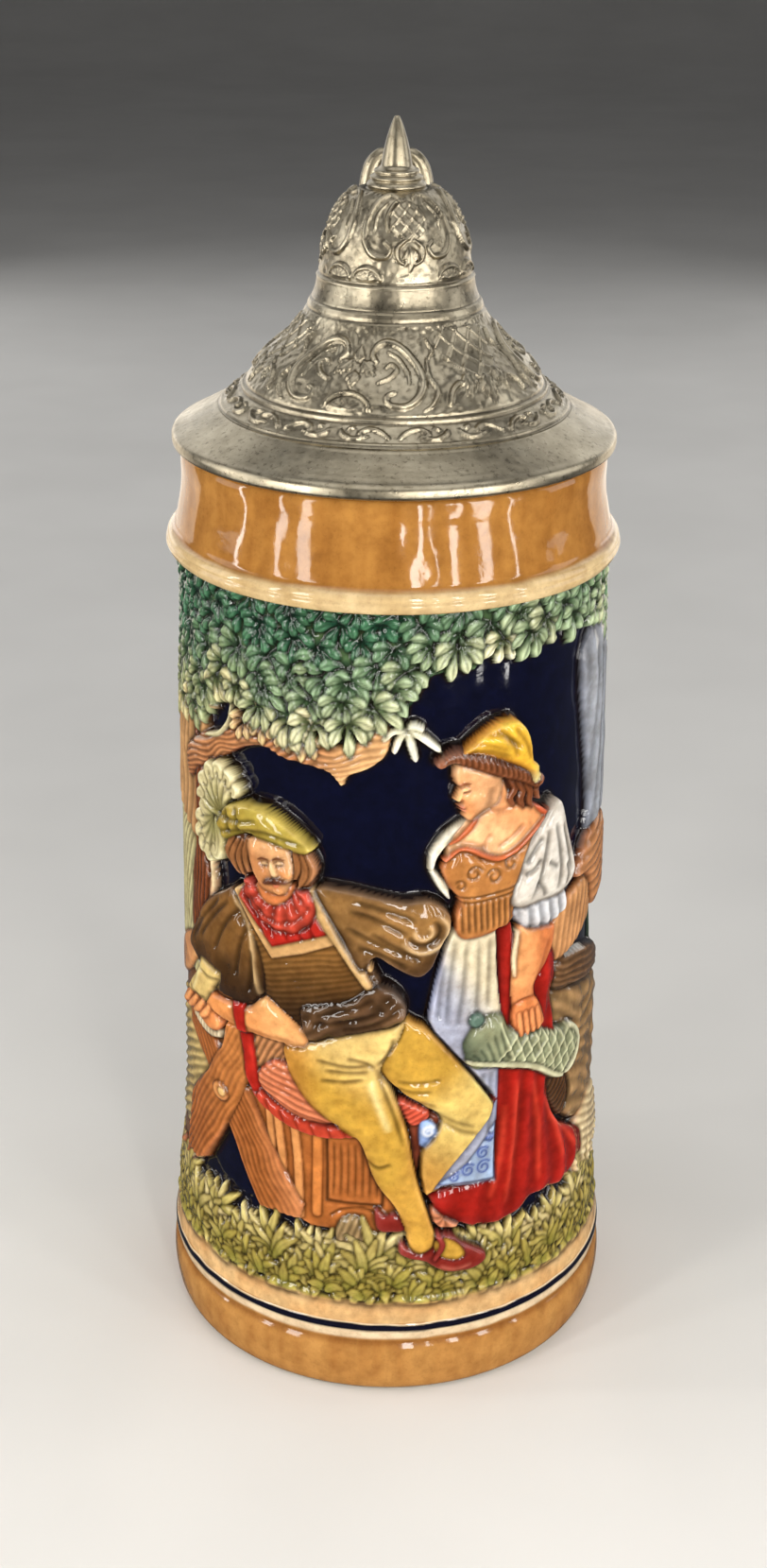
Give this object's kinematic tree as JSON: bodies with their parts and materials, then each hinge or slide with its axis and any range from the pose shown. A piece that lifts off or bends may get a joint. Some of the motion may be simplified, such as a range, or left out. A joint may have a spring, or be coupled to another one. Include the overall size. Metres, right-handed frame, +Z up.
{
  "type": "beer stein",
  "caption": "Tall glazed stoneware beer stein with a relief scene, a loop handle and a hinged steeple-shaped pewter lid with a thumblift.",
  "frame": {"origin": "centre of the flat underside of the foot, on the vessel's axis", "axes": "+Z up along the vessel's axis; +Y towards the handle and hinge; -Y is the front; +X to the right seen from the front"},
  "size_m": [0.1076, 0.1457, 0.286],
  "materials": {
    "stoneware": "glossy glaze",
    "pewter": "satin, darkened in the recesses",
    "steel": "plain"
  },
  "bodies": {
    "stein": {"vessel": "stoneware", "handle": "stoneware", "strap": "pewter", "hinge_pin": "steel", "pin_caps": "pewter"},
    "lid": {"lid_brim": "pewter", "lid_cone": "pewter", "lid_bell": "pewter", "finial": "pewter", "lid_shank": "pewter", "thumblift": "pewter"}
  },
  "joints": [
    {"name": "lid_hinge", "type": "hinge", "parent": "stein", "child": "lid", "pos_m": [0, 0.0585, 0.2195], "axis": [-1, 0, 0], "range_deg": [0, 100]}
  ]
}
